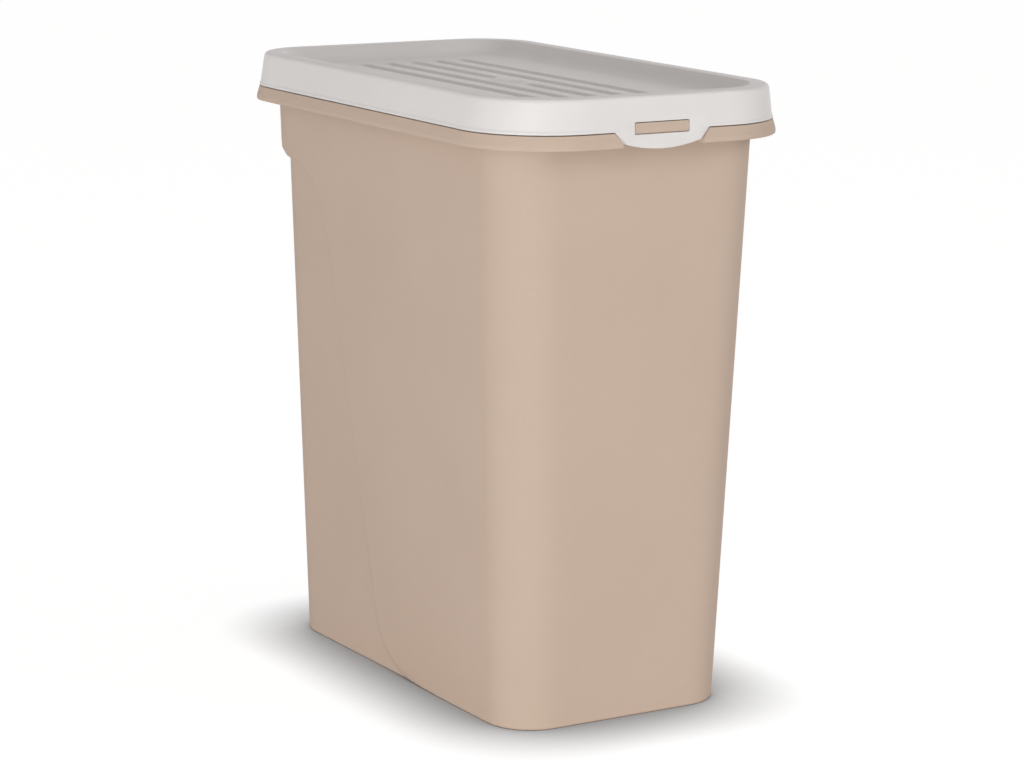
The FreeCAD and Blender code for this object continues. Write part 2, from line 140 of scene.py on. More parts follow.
@dataclass(frozen=True)
class Outline:
    """Rounded rectangle in plan, in metres, seen from above."""

    half_width: float
    front: float
    rear: float
    front_corner: float
    rear_corner: float

    def ring(self, height: float, across: Sequence[float], along: Sequence[float],
             turns: int) -> Ring:
        """Points of the outline at one height, starting at the front left tangent point.

        Args:
            height: the ring's z.
            across: shares from 0 to 1 of the front and rear straights.
            along: shares from 0 to 1 of the side straights, from front to rear.
            turns: segments in each corner.

        Returns:
            One closed ring, counter-clockwise seen from above, with no repeated point.
        """
        front_x = self.half_width - self.front_corner
        rear_x = self.half_width - self.rear_corner
        low_y = self.front_corner - self.front
        high_y = self.rear - self.rear_corner
        ring = []
        for share in across[:-1]:
            ring.append(Vector((mix(-front_x, front_x, share), -self.front, height)))
        ring += self.turn((front_x, low_y), self.front_corner, -90.0, height, turns)
        for share in along[:-1]:
            ring.append(Vector((self.half_width, mix(low_y, high_y, share), height)))
        ring += self.turn((rear_x, high_y), self.rear_corner, 0.0, height, turns)
        for share in across[:-1]:
            ring.append(Vector((mix(rear_x, -rear_x, share), self.rear, height)))
        ring += self.turn((-rear_x, high_y), self.rear_corner, 90.0, height, turns)
        for share in reversed(along[1:]):
            ring.append(Vector((-self.half_width, mix(low_y, high_y, share), height)))
        ring += self.turn((-front_x, low_y), self.front_corner, 180.0, height, turns)
        return ring

    @staticmethod
    def turn(middle: tuple[float, float], radius: float, start: float, height: float,
             turns: int) -> Ring:
        """Points of one corner, without its last point.

        Args:
            middle: the arc's centre in plan.
            radius: the corner's radius.
            start: angle of the first point in degrees.
            height: the points' z.
            turns: segments in the corner.

        Returns:
            As many points as the corner has segments.
        """
        angles = [math.radians(start + 90.0 * step / turns) for step in range(turns)]
        return [Vector((middle[0] + radius * math.cos(angle),
                        middle[1] + radius * math.sin(angle), height)) for angle in angles]


class Skin:
    """Mesh under construction, made of stacked rings with caps."""

    def __init__(self, name: str) -> None:
        """Starts an empty mesh for a piece of that name."""
        self.name = name
        self.mesh = bmesh.new()

    def add_ring(self, ring: Iterable[Vector]) -> list[Vert]:
        """Adds the ring's vertices and returns them."""
        return [self.mesh.verts.new(point) for point in ring]

    def bridge(self, first: Sequence[Vert], second: Sequence[Vert]) -> None:
        """Joins two closed rings of equal length with quads."""
        count = len(first)
        for index in range(count):
            ahead = (index + 1) % count
            self.mesh.faces.new((first[index], first[ahead], second[ahead], second[index]))

    def stack(self, rings: Iterable[Ring]) -> list[list[Vert]]:
        """Adds the rings in order, joined each to the next, and returns their vertices."""
        built = [self.add_ring(ring) for ring in rings]
        for first, second in zip(built, built[1:]):
            self.bridge(first, second)
        return built

    def finish(self, sharp_angle: float = 40.0) -> bpy.types.Object:
        """Turns the mesh into a smooth-shaded object.

        Args:
            sharp_angle: edges that turn by more degrees than this stay crisp.

        Returns:
            The new object, linked to the scene.
        """
        bmesh.ops.remove_doubles(self.mesh, verts=self.mesh.verts, dist=1e-7)
        bmesh.ops.recalc_face_normals(self.mesh, faces=self.mesh.faces)
        limit = math.radians(sharp_angle)
        for face in self.mesh.faces:
            face.smooth = True
        for edge in self.mesh.edges:
            edge.smooth = len(edge.link_faces) == 2 and edge.calc_face_angle(0.0) < limit
        data = bpy.data.meshes.new(self.name)
        self.mesh.to_mesh(data)
        self.mesh.free()
        item = bpy.data.objects.new(self.name, data)
        bpy.context.scene.collection.objects.link(item)
        return item


# ---- node helpers
def level(nodes: Nodes, links: Links, value: Socket, from_low: float, from_high: float,
          to_low: float, to_high: float) -> Socket:
    """Value mapped from one range to another and kept inside it."""
    scale = nodes.new("ShaderNodeMapRange")
    scale.inputs["From Min"].default_value = from_low
    scale.inputs["From Max"].default_value = from_high
    scale.inputs["To Min"].default_value = to_low
    scale.inputs["To Max"].default_value = to_high
    links.new(value, scale.inputs["Value"])
    return scale.outputs["Result"]


def combined(nodes: Nodes, links: Links, operation: str, first: Socket,
             second: Socket | float) -> Socket:
    """Result of one arithmetic operation on a value and another value or constant."""
    node = nodes.new("ShaderNodeMath")
    node.operation = operation
    links.new(first, node.inputs[0])
    if isinstance(second, float):
        node.inputs[1].default_value = second
    else:
        links.new(second, node.inputs[1])
    return node.outputs["Value"]


# ---- finishes
@dataclass(frozen=True)
class MouldedPlastic:
    """Satin injection-moulded plastic with spark texture, flow mottle and light rubbing."""

    name: str
    colour: tuple[float, float, float]
    shade: tuple[float, float, float]
    rubbed: tuple[float, float, float]
    roughness: float
    gloss: float
    grain_size: float = 0.0007
    grain_height: float = 0.00002
    ripple_height: float = 0.00006
    mottle_scale: float = 9.0
    speck_scale: float = 900.0
    scuff_scale: float = 42.0
    ripple_scale: float = 14.0
    refraction: float = 1.49

    def build(self) -> bpy.types.Material:
        """Makes the node material."""
        material = bpy.data.materials.new(self.name)
        material.use_nodes = True
        nodes = material.node_tree.nodes
        links = material.node_tree.links
        shader = nodes["Principled BSDF"]
        shader.inputs["IOR"].default_value = self.refraction
        shader.inputs["Specular IOR Level"].default_value = self.gloss
        place = nodes.new("ShaderNodeTexCoord").outputs["Object"]

        mottle = self.noise(nodes, links, place, self.mottle_scale, 4.0, 0.55)
        cloud = self.ramp(nodes, links, mottle, 0.35, 0.68, self.shade, self.colour)
        speck = self.noise(nodes, links, place, self.speck_scale, 2.0, 0.5)
        worn = level(nodes, links, speck, 0.60, 0.78, 0.0, 0.5)
        tint = nodes.new("ShaderNodeMix")
        tint.data_type = "RGBA"
        links.new(worn, tint.inputs["Factor"])
        links.new(cloud, tint.inputs["A"])
        tint.inputs["B"].default_value = (*self.rubbed, 1.0)
        links.new(tint.outputs["Result"], shader.inputs["Base Color"])

        scuff = self.noise(nodes, links, place, self.scuff_scale, 6.0, 0.7)
        rough = level(nodes, links, scuff, 0.3, 0.75, self.roughness - 0.045,
                      self.roughness + 0.06)
        links.new(rough, shader.inputs["Roughness"])

        grain = self.noise(nodes, links, place, 1.0 / self.grain_size, 2.0, 0.6)
        fine = nodes.new("ShaderNodeBump")
        fine.inputs["Strength"].default_value = 0.55
        fine.inputs["Distance"].default_value = self.grain_height
        links.new(grain, fine.inputs["Height"])
        ripple = self.noise(nodes, links, place, self.ripple_scale, 2.0, 0.4)
        broad = nodes.new("ShaderNodeBump")
        broad.inputs["Strength"].default_value = 0.5
        broad.inputs["Distance"].default_value = self.ripple_height
        links.new(ripple, broad.inputs["Height"])
        links.new(fine.outputs["Normal"], broad.inputs["Normal"])
        links.new(broad.outputs["Normal"], shader.inputs["Normal"])
        return material

    @staticmethod
    def noise(nodes: Nodes, links: Links, place: Socket, scale: float, detail: float,
              rough: float) -> Socket:
        """Noise over the object's own coordinates, in waves per metre."""
        texture = nodes.new("ShaderNodeTexNoise")
        texture.inputs["Scale"].default_value = scale
        texture.inputs["Detail"].default_value = detail
        texture.inputs["Roughness"].default_value = rough
        links.new(place, texture.inputs["Vector"])
        return texture.outputs["Fac"]

    @staticmethod
    def ramp(nodes: Nodes, links: Links, value: Socket, low: float, high: float,
             first: tuple[float, float, float], last: tuple[float, float, float]) -> Socket:
        """Colour that goes from first to last as the value goes from low to high."""
        ramp = nodes.new("ShaderNodeValToRGB")
        ramp.color_ramp.elements[0].position = low
        ramp.color_ramp.elements[0].color = (*first, 1.0)
        ramp.color_ramp.elements[1].position = high
        ramp.color_ramp.elements[1].color = (*last, 1.0)
        links.new(value, ramp.inputs["Fac"])
        return ramp.outputs["Color"]


def dress(item: bpy.types.Object, material: bpy.types.Material) -> None:
    """Gives the whole of an object one material."""
    item.data.materials.clear()
    item.data.materials.append(material)


# ---- the studio
@dataclass(frozen=True)
class Lamp:
    """One soft rectangular lamp, sized in metres, with its power in watts."""

    name: str
    place: tuple[float, float, float]
    size: tuple[float, float]
    power: float


@dataclass(frozen=True)
class Studio:
    """Camera, lamps and floor."""

    place: tuple[float, float, float] = (-1.16962, -1.94379, 0.66622)
    azimuth: float = -30.98
    elevation: float = 11.52
    roll: float = 0.5
    lens: float = 114.4
    sensor: float = 36.0
    shift_x: float = 0.0079
    floor_half: float = 6.0
    floor_grey: float = 0.92
    floor_lift: float = 1.16
    floor_lit_share: float = 0.2
    # reach, power and samples of the painted contact shadow on the floor
    contact_reach: float = 0.070
    contact_power: float = 2.0
    contact_samples: int = 16
    level_light: float = 0.90
    overhead_light: float = 0.15
    overhead_tone: tuple[float, float, float] = (1.0, 0.86, 0.82)
    lit_from: tuple[float, float, float] = (0.0, -1.0, 0.0)
    far_side: float = 0.62
    near_side: float = 1.10
    floor_rough: float = 0.9
    floor_gloss: float = 0.1
    lamp_target: tuple[float, float, float] = (0.0, 0.0, 0.22)
    lamps: tuple[Lamp, ...] = (
        Lamp("key_lamp", (-2.0, -1.7, 0.22), (1.1, 0.42), 25.0),
        Lamp("front_lamp", (1.7, -1.8, 1.50), (0.9, 0.9), 10.0),
        Lamp("top_lamp", (0.4, 0.3, 2.4), (1.6, 1.6), 3.0))

    def build_camera(self) -> None:
        """Places the camera and makes it the scene's own."""
        turn = math.radians(self.azimuth)
        rise = math.radians(self.elevation)
        tilt = math.radians(self.roll)
        back = Vector((math.sin(turn) * math.cos(rise), -math.cos(turn) * math.cos(rise),
                       math.sin(rise)))
        aside = Vector((math.cos(turn), math.sin(turn), 0.0))
        upright = back.cross(aside)
        right = aside * math.cos(tilt) + upright * math.sin(tilt)
        up = upright * math.cos(tilt) - aside * math.sin(tilt)
        data = bpy.data.cameras.new("camera")
        data.lens = self.lens
        data.sensor_width = self.sensor
        data.shift_x = self.shift_x
        data.clip_end = 50.0
        camera = bpy.data.objects.new("camera", data)
        basis = Matrix((right, up, back)).transposed().to_4x4()
        camera.matrix_world = Matrix.Translation(Vector(self.place)) @ basis
        bpy.context.scene.collection.objects.link(camera)
        bpy.context.scene.camera = camera

    def build_floor(self) -> None:
        """Lays a pale floor that shows white to the camera, with a part painted, part real
        shadow.
        """
        skin = Skin("floor")
        half = self.floor_half
        corners = [(-half, -half), (half, -half), (half, half), (-half, half)]
        skin.mesh.faces.new(skin.add_ring([Vector((x, y, 0.0)) for x, y in corners]))
        floor = skin.finish()
        material = bpy.data.materials.new("pale_floor")
        material.use_nodes = True
        nodes = material.node_tree.nodes
        links = material.node_tree.links
        paint = nodes["Principled BSDF"]
        paint.inputs["Base Color"].default_value = (self.floor_grey,) * 3 + (1.0,)
        paint.inputs["Roughness"].default_value = self.floor_rough
        paint.inputs["Specular IOR Level"].default_value = self.floor_gloss
        # glow seen by the camera, dimmed near the bin by occlusion into a painted contact shadow
        lift = nodes.new("ShaderNodeEmission")
        links.new(self.painted_contact_shadow(nodes, links), lift.inputs["Strength"])
        # camera sees mostly the painted-shadow glow, plus a small share of the really lit floor
        both = nodes.new("ShaderNodeMixShader")
        both.inputs["Fac"].default_value = self.floor_lit_share
        links.new(lift.outputs["Emission"], both.inputs[1])
        links.new(paint.outputs["BSDF"], both.inputs[2])
        blend = nodes.new("ShaderNodeMixShader")
        links.new(self.seen_directly(nodes, links), blend.inputs["Fac"])
        links.new(paint.outputs["BSDF"], blend.inputs[1])
        links.new(both.outputs["Shader"], blend.inputs[2])
        links.new(blend.outputs["Shader"], nodes["Material Output"].inputs["Surface"])
        dress(floor, material)

    def painted_contact_shadow(self, nodes: Nodes, links: Links) -> Socket:
        """Painted contact shadow: the floor's glow, dimmed by ambient occlusion close to the
        bin's foot.
        """
        near = nodes.new("ShaderNodeAmbientOcclusion")
        near.inputs["Distance"].default_value = self.contact_reach
        near.samples = self.contact_samples
        deep = combined(nodes, links, "POWER", near.outputs["AO"], self.contact_power)
        return combined(nodes, links, "MULTIPLY", deep, self.floor_lift)

    @staticmethod
    def seen_directly(nodes: Nodes, links: Links) -> Socket:
        """1 for rays that show the background: from the camera, or mirrored to it."""
        rays = nodes.new("ShaderNodeLightPath")
        found = rays.outputs["Is Camera Ray"]
        for other in ("Is Glossy Ray", "Is Transmission Ray"):
            found = combined(nodes, links, "MAXIMUM", found, rays.outputs[other])
        return found

    def build_world(self) -> None:
        """Lights the room softly, less from above and behind, and shows white to the camera."""
        world = bpy.data.worlds.new("studio")
        bpy.context.scene.world = world
        world.use_nodes = True
        nodes = world.node_tree.nodes
        links = world.node_tree.links
        way = nodes.new("ShaderNodeSeparateXYZ")
        way_vector = nodes.new("ShaderNodeTexCoord").outputs["Generated"]
        links.new(way_vector, way.inputs["Vector"])
        fall = level(nodes, links, way.outputs["Z"], 0.0, 1.0, self.level_light,
                     self.overhead_light)
        light = nodes["Background"]
        tone = nodes.new("ShaderNodeMix")
        tone.data_type = "RGBA"
        tone.inputs["A"].default_value = (1.0, 1.0, 1.0, 1.0)
        tone.inputs["B"].default_value = (*self.overhead_tone, 1.0)
        links.new(way.outputs["Z"], tone.inputs["Factor"])
        links.new(tone.outputs["Result"], light.inputs["Color"])
        toward = nodes.new("ShaderNodeVectorMath")
        toward.operation = "DOT_PRODUCT"
        links.new(way_vector, toward.inputs[0])
        toward.inputs[1].default_value = self.lit_from
        side = level(nodes, links, toward.outputs["Value"], -1.0, 1.0, self.far_side,
                     self.near_side)
        links.new(combined(nodes, links, "MULTIPLY", fall, side), light.inputs["Strength"])
        plain = nodes.new("ShaderNodeBackground")
        plain.inputs["Color"].default_value = (1.0, 1.0, 1.0, 1.0)
        blend = nodes.new("ShaderNodeMixShader")
        links.new(self.seen_directly(nodes, links), blend.inputs["Fac"])
        links.new(light.outputs["Background"], blend.inputs[1])
        links.new(plain.outputs["Background"], blend.inputs[2])
        links.new(blend.outputs["Shader"], nodes["World Output"].inputs["Surface"])

    def hang(self, lamp: Lamp) -> None:
        """Hangs a lamp so that it faces the bin's middle."""
        data = bpy.data.lights.new(lamp.name, "AREA")
        data.shape = "RECTANGLE"
        data.size, data.size_y = lamp.size
        data.energy = lamp.power
        item = bpy.data.objects.new(lamp.name, data)
        item.location = lamp.place
        aim = Vector(self.lamp_target) - Vector(lamp.place)
        item.rotation_euler = aim.to_track_quat("-Z", "Y").to_euler()
        bpy.context.scene.collection.objects.link(item)

    def build(self) -> None:
        """Sets up the whole studio."""
        bpy.context.scene.view_settings.view_transform = "Standard"
        self.build_camera()
        self.build_floor()
        self.build_world()
        for lamp in self.lamps:
            self.hang(lamp)


# ---- the tub
@dataclass(frozen=True)
class Tub:
    """Tapered tub with a rear shoulder, a soft-edged side relief and a recessed base."""

    top: Outline = Outline(103.5 * MM, 172.75 * MM, 180.15 * MM, 39.0 * MM, 39.0 * MM)
    base: Outline = Outline(88.2 * MM, 157.85 * MM, 173.05 * MM, 33.0 * MM, 33.0 * MM)
    wall: float = 2.2 * MM
    floor: float = 4.0 * MM
    base_round: float = 1.6 * MM
    foot_ring: float = 14.0 * MM
    foot_relief: float = 1.4 * MM
    bead_drop: float = 3.0 * MM
    bead_height: float = 2.0 * MM
    bead_proud: float = 1.2 * MM
    side_step: float = 3.0 * MM
    rear_step: float = 7.2 * MM
    shoulder_z: float = 355.0 * MM
    relief_top_y: float = 101.65 * MM
    relief_foot: tuple[float, float] = (29.5 * MM, 5.5 * MM)
    relief_end: tuple[float, float] = (-13.5 * MM, 0.0)
    relief_radii: tuple[float, float] = (60.0 * MM, 50.0 * MM)
    arc_top: float = 345.0 * MM
    widest_band: float = 24.0 * MM
    side_round: float = 18.0 * MM
    side_turn: float = 30.0
    side_drop: float = 0.5 * MM
    shoulder_softness: float = 8.5 * MM
    station_room: float = 8.0 * MM
    floor_round: float = 4.0 * MM
    rim_round: float = 0.5 * MM
    level_runs: tuple[tuple[float, int], ...] = (
        (22.0 * MM, 20), (60.0 * MM, 14), (300.0 * MM, 40), (344.0 * MM, 26), (356.0 * MM, 24))
    top_rings: int = 8
    round_steps: int = 6
    sharp_angle: float = 30.0
    round_from: float = 118.0 * MM
    round_over: float = 40.0 * MM
    turns: int = 14
    fronts: int = 10
    front_run: int = 8
    relief_run: int = 26
    rear_run: int = 10

    @cached_property
    def height(self) -> float:
        """Height of the tub's own rim, from the CAD piece."""
        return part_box("bin_tub")[1].z

    @property
    def side_run(self) -> float:
        """Width of the rounded edge by which the side steps in."""
        return self.side_round * math.sin(math.radians(self.side_turn))

    def relief_line(self) -> list[tuple[float, float]]:
        """Edge of the relief in Y and Z, from behind the shoulder down to the base."""
        foot_y, foot_z = self.relief_foot
        end_y, end_z = self.relief_end
        reach = 0.5
        slope = (end_z - foot_z) / (end_y - foot_y)
        return rounded_profile(
            [(self.top.rear + reach, self.shoulder_z), (self.relief_top_y, self.shoulder_z),
             (foot_y, foot_z), (end_y - reach, end_z - reach * slope)],
            self.relief_radii, 14)

    @staticmethod
    def depth_inside(line: Sequence[tuple[float, float]], y: np.ndarray,
                     z: float) -> np.ndarray:
        """Signed distance from the relief's edge, positive on the relieved side.

        Args:
            line: the relief's edge in Y and Z.
            y: the Y of each point.
            z: the points' height.

        Returns:
            One distance per point.
        """
        corners = np.array(line)
        start, run = corners[:-1], np.diff(corners, axis=0)
        off = np.stack([y, np.full(len(y), z)], axis=1)[:, None, :] - start
        share = np.clip((off * run).sum(2) / (run * run).sum(1), 0.0, 1.0)
        away = off - share[..., None] * run
        reach = (away * away).sum(2)
        nearest = reach.argmin(1)
        rows = np.arange(len(y))
        side = run[nearest, 0] * away[rows, nearest, 1] - run[nearest, 1] * away[rows, nearest, 0]
        return np.where(side > 0, 1.0, -1.0) * np.sqrt(reach[rows, nearest])

    def relief_y(self, line: Sequence[tuple[float, float]], z: float) -> float:
        """Y at which the relief's edge crosses the height z."""
        for (ay, az), (by, bz) in zip(line, line[1:]):
            if az >= z >= bz and az > bz:
                return mix(ay, by, (az - z) / (az - bz))
        return line[0][0] if z > self.shoulder_z else line[-1][0]

    def outline(self, z: float, inset: float, side: float = 0.0, rear: float = 0.0) -> Outline:
        """Tub's outline at height z, moved in by an inset and a relief step."""
        share = z / self.height
        corner = mix(self.base.front_corner, self.top.front_corner, share) - inset
        return Outline(mix(self.base.half_width, self.top.half_width, share) - inset - side,
                       mix(self.base.front, self.top.front, share) - inset,
                       mix(self.base.rear, self.top.rear, share) - inset - rear, corner, corner)

    def stations(self, line: Sequence[tuple[float, float]], z: float) -> list[float]:
        """Shares along the side for the columns at height z, gathered at the relief's edge."""
        plain = self.outline(z, 0.0)
        low = plain.front_corner - plain.front
        high = plain.rear - plain.rear_corner
        probe = 1.0 * MM
        level = min(max(z, self.base_round), self.arc_top)
        edge = self.relief_y(line, level)
        lean = self.relief_y(line, level + probe) - self.relief_y(line, level - probe)
        band = self.side_run * math.hypot(1.0, lean / (2 * probe))
        band = min(band, self.widest_band)
        start = max(edge - 1.5 * band, low + self.station_room)
        stop = min(edge + 0.5 * band, high - self.station_room)
        found = spread(low, start, self.front_run)[:-1]
        found += spread(start, stop, self.relief_run)[:-1]
        found += spread(stop, high, self.rear_run)
        return [(y - low) / (high - low) for y in found]

    def ring(self, line: Sequence[tuple[float, float]], z: float, inset: float,
             grow: float = 0.0) -> Ring:
        """One ring of the tub's wall with the relief blended in.

        Args:
            line: the relief's edge.
            z: height that sets the outline.
            inset: distance in from the outer face.
            grow: how far the relief's edge is moved outwards, for the inner face.

        Returns:
            The closed ring.
        """
        across = spread(0.0, 1.0, self.fronts)
        along = self.stations(line, z)
        plain = self.outline(z, inset).ring(z, across, along, self.turns)
        core = self.outline(z, inset, self.side_step, self.rear_step)
        stepped = core.ring(z, across, along, self.turns)
        shares = self.relief_shares(line, np.array([point.y for point in plain]), z, grow)
        return [outer.lerp(inner, share) for outer, inner, share in
                zip(plain, stepped, shares)]

    def relief_shares(self, line: Sequence[tuple[float, float]], y: np.ndarray, z: float,
                      grow: float) -> np.ndarray:
        """How far wall points have stepped in, from 0 to 1, with a rounded outer edge.

        Args:
            line: the relief's edge in Y and Z.
            y: the Y of each point.
            z: the points' height.
            grow: how far the edge is moved outwards.

        Returns:
            One share per point.
        """
        rearward = np.clip((y - self.round_from) / self.round_over, 0.0, 1.0)
        depth = self.depth_inside(line, y, z) + grow
        reach = np.clip(depth + self.side_run, 0.0, self.side_run)
        side = (self.side_round - np.sqrt(self.side_round ** 2 - reach ** 2)) / self.side_step
        side += (1.0 - side) * np.clip(depth / self.side_drop, 0.0, 1.0)
        ratio = np.clip(depth / self.shoulder_softness + 1.0, 0.0, 1.0)
        shoulder = 1.0 - np.sqrt(1.0 - ratio * ratio)
        return side + (shoulder - side) * rearward

    def levels(self) -> list[float]:
        """Heights of the wall's rings, close together where the relief's edge is level."""
        found = [self.base_round]
        for top, count in self.level_runs:
            found += spread(found[-1], top, count)[1:]
        bead_low = self.height - self.bead_drop - self.bead_height
        return found + spread(found[-1], bead_low, self.top_rings)[1:]

    def build(self) -> bpy.types.Object:
        """Builds the closed tub: base, outer wall, snap bead, rim and inner wall."""
        line = self.relief_line()
        skin = Skin("tub_shell")
        foot = self.outline(0.0, self.foot_ring)
        across = spread(0.0, 1.0, self.fronts)
        along = self.stations(line, 0.0)
        rings = [foot.ring(self.foot_relief, across, along, self.turns),
                 foot.ring(0.0, across, along, self.turns)]
        for angle in spread(0.0, math.pi / 2, self.round_steps):
            inset = self.base_round * (1.0 - math.sin(angle))
            z = self.base_round * (1.0 - math.cos(angle))
            rings.append(self.ring(line, z, inset))
        rings += [self.ring(line, z, 0.0) for z in self.levels()[1:]]
        bead_top = self.height - self.bead_drop
        bead = [(bead_top - self.bead_height, -self.bead_proud), (bead_top, -self.bead_proud),
                (bead_top, 0.0), (self.height - self.rim_round, 0.0),
                (self.height, self.rim_round), (self.height, self.wall - self.rim_round),
                (self.height - self.rim_round, self.wall)]
        rings += [self.ring(line, z, inset) for z, inset in bead]
        lowest = self.floor + self.floor_round + 1.0 * MM
        inner = [z for z in reversed(self.levels()[::2]) if z > lowest]
        rings += [self.ring(line, z, self.wall, self.wall) for z in inner]
        for angle in spread(0.0, math.pi / 2, self.round_steps):
            inset = self.wall + self.floor_round * (1.0 - math.cos(angle))
            z = self.floor + self.floor_round * (1.0 - math.sin(angle))
            rings.append(self.ring(line, z, inset, self.wall))
        built = skin.stack(rings)
        skin.mesh.faces.new(built[0])
        skin.mesh.faces.new(built[-1])
        return skin.finish(self.sharp_angle)


# ---- the lid
@dataclass(frozen=True)
class Lid:
    """Tray-topped lid: skirt with a fine lower bead, rounded crest, dished and grooved top."""

    half_width: float = 116.9 * MM
    half_length: float = 193.45 * MM
    front_corner: float = 60.6 * MM
    rear_corner: float = 49.6 * MM
    low_z: float = 407.0 * MM
    height: float = 23.0 * MM
    wall: float = 2.2 * MM
    crest_side: float = 5.5 * MM
    crest_end: float = 0.8 * MM
    crest_width: float = 13.0 * MM
    crest_round: float = 2.8 * MM
    bead: float = 0.55 * MM
    bead_height: float = 2.6 * MM
    tray_depth: float = 9.8 * MM
    slope_run: float = 12.0 * MM
    slope_round: float = 20.0 * MM
    under_inset: float = 0.8 * MM
    floor_lap: float = 10.5 * MM
    floor_corner: float = 22.0 * MM
    groove_count: int = 5
    groove_pitch: float = 20.6 * MM
    groove_half: float = 4.5 * MM
    groove_depth: float = 3.6 * MM
    groove_reach: float = 142.05 * MM
    pad_half_length: float = 17.0 * MM
    pad_half_width: float = 10.0 * MM
    pad_height: float = 1.2 * MM
    patch_half_width: float = 56.0 * MM
    patch_half_length: float = 149.0 * MM
    edge_lap: float = 1.1 * MM
    sharp_angle: float = 38.0
    turns: int = 16

    @property
    def front_y(self) -> float:
        """Y of the front skirt's lower edge."""
        return -self.half_length

    @property
    def rear_y(self) -> float:
        """Y of the rear skirt's lower edge."""
        return self.half_length

    def face_y(self, z: float) -> float:
        """Y of the front skirt's outer face at height z, above its lower bead."""
        share = (z - self.low_z) / self.height
        return self.front_y + self.bead + self.crest_end * share

    def outline(self, inset: float, z_up: float) -> Outline:
        """Plan outline for one point of the lid's section.

        Args:
            inset: distance in from the skirt's lower edge, before the skirt's lean.
            z_up: height above the skirt's lower edge, which sets the lean.

        Returns:
            The outline.
        """
        share = min(1.0, max(0.0, z_up / self.height))
        half_length = self.half_length - inset - self.crest_end * share
        return Outline(self.half_width - inset - self.crest_side * share,
                       half_length, half_length,
                       self.corner_at(self.front_corner, inset, share),
                       self.corner_at(self.rear_corner, inset, share))

    def stations_x(self) -> list[float]:
        """Columns of the grooved patch, gathered at the grooves' edges."""
        near = [2.6, 3.4, 3.9, 4.3, 4.7, 5.2, 6.0]
        found = {0.0, -self.patch_half_width, self.patch_half_width}
        middle = (self.groove_count - 1) / 2
        for index in range(self.groove_count):
            centre = (index - middle) * self.groove_pitch
            found.add(centre)
            for offset in near:
                found.update((centre - offset * MM, centre + offset * MM))
        for index in range(self.groove_count - 1):
            found.add((index - middle + 0.5) * self.groove_pitch)
        return sorted(round(x, 7) for x in found)

    def stations_y(self) -> list[float]:
        """Rows of the grooved patch, gathered at the grooves' ends and the centre pad."""
        reach = self.patch_half_length
        end_low = self.groove_reach - 6.5 * MM
        end_high = self.groove_reach + 1.5 * MM
        pad_high = self.pad_half_length + 2 * self.groove_half
        pad_low = self.pad_half_length - 2.0 * MM
        half = spread(0.0, pad_low, 5)[:-1]
        half += spread(pad_low, pad_high, 15)[:-1]
        half += spread(pad_high, end_low, 18)[:-1]
        half += spread(end_low, end_high, 12)[:-1]
        half += spread(end_high, reach, 3)
        rows = [-y for y in reversed(half[1:])] + half
        return rows

    @staticmethod
    def ease(value: float, low: float, high: float) -> float:
        """Smooth step from 0 at low to 1 at high."""
        share = min(1.0, max(0.0, (value - low) / (high - low)))
        return share * share * (3 - 2 * share)

    def groove_drop(self, x: float, y: float, grow: float) -> float:
        """Depth of the grooves at a point of the floor, with soft rims."""
        middle = (self.groove_count - 1) / 2
        index = min(middle, max(-middle, round(x / self.groove_pitch)))
        off_x = abs(x - index * self.groove_pitch)
        off_y = abs(y)
        end = self.groove_reach - self.groove_half
        start = self.pad_half_length + 2 * self.groove_half if index == 0 else 0.0
        past = max(off_y - end, start - off_y, 0.0)
        away = math.hypot(off_x, past) - self.groove_half - grow
        return self.groove_depth * (1.0 - self.ease(away, -1.3 * MM, 0.6 * MM))

    def pad_rise(self, x: float, y: float) -> float:
        """Height of the plain centre pad at a point of the floor."""
        across = x / self.pad_half_width
        along = y / self.pad_half_length
        return self.pad_height * (1.0 - self.ease(math.hypot(across, along), 0.86, 1.0))

    def outer_section(self) -> list[tuple[float, float]]:
        """Section of the outside, from the skirt's lower edge to the tray's floor."""
        top = self.height
        inner = self.crest_width
        floor_at = inner + self.slope_run
        lower = rounded_profile([(self.edge_lap, 0.0), (0.0, 0.0), (0.0, self.bead_height * 0.55),
                                 (self.bead, self.bead_height), (self.bead, top * 0.5)],
                                [0.45 * MM, 0.7 * MM, 1.2 * MM], 4)
        upper = rounded_profile([(self.bead, top * 0.5), (self.bead, top), (inner, top),
                                 (floor_at, top - self.tray_depth),
                                 (floor_at + self.floor_lap, top - self.tray_depth)],
                                [self.crest_round, self.crest_round, self.slope_round], 9)
        return lower[:-1] + upper

    def inner_section(self) -> list[tuple[float, float]]:
        """Section of the underside, from the tray's floor to the skirt's lower edge."""
        top = self.height - self.wall
        floor_z = self.height - self.tray_depth - self.wall
        floor_at = self.crest_width + self.slope_run - self.under_inset
        back = rounded_profile(
            [(floor_at + self.floor_lap, floor_z), (floor_at, floor_z),
             (self.crest_width - self.under_inset, top), (self.wall + self.bead * 0.5, top),
             (self.wall, 0.0), (self.edge_lap, 0.0)],
            [self.slope_round, 1.6 * MM, 1.6 * MM, 0.4 * MM], 6)
        return back

    def corner_at(self, corner: float, inset: float, lean: float) -> float:
        """Corner radius that goes with an inset, easing to the floor's own radius.

        Args:
            corner: radius at the skirt's lower edge.
            inset: distance in from that edge.
            lean: share of the way up the skirt.

        Returns:
            The radius.
        """
        outer = corner - inset - self.crest_side * lean
        share = min(1.0, max(0.0, (inset - self.crest_width) / self.slope_run))
        return mix(outer, self.floor_corner, share)

    def rings(self, section: Sequence[tuple[float, float]], across: Sequence[float],
              along: Sequence[float]) -> list[Ring]:
        """Rings for every point of a section."""
        found = []
        for inset, z_up in section:
            outline = self.outline(inset, z_up)
            found.append(outline.ring(self.low_z + z_up, across, along, self.turns))
        return found

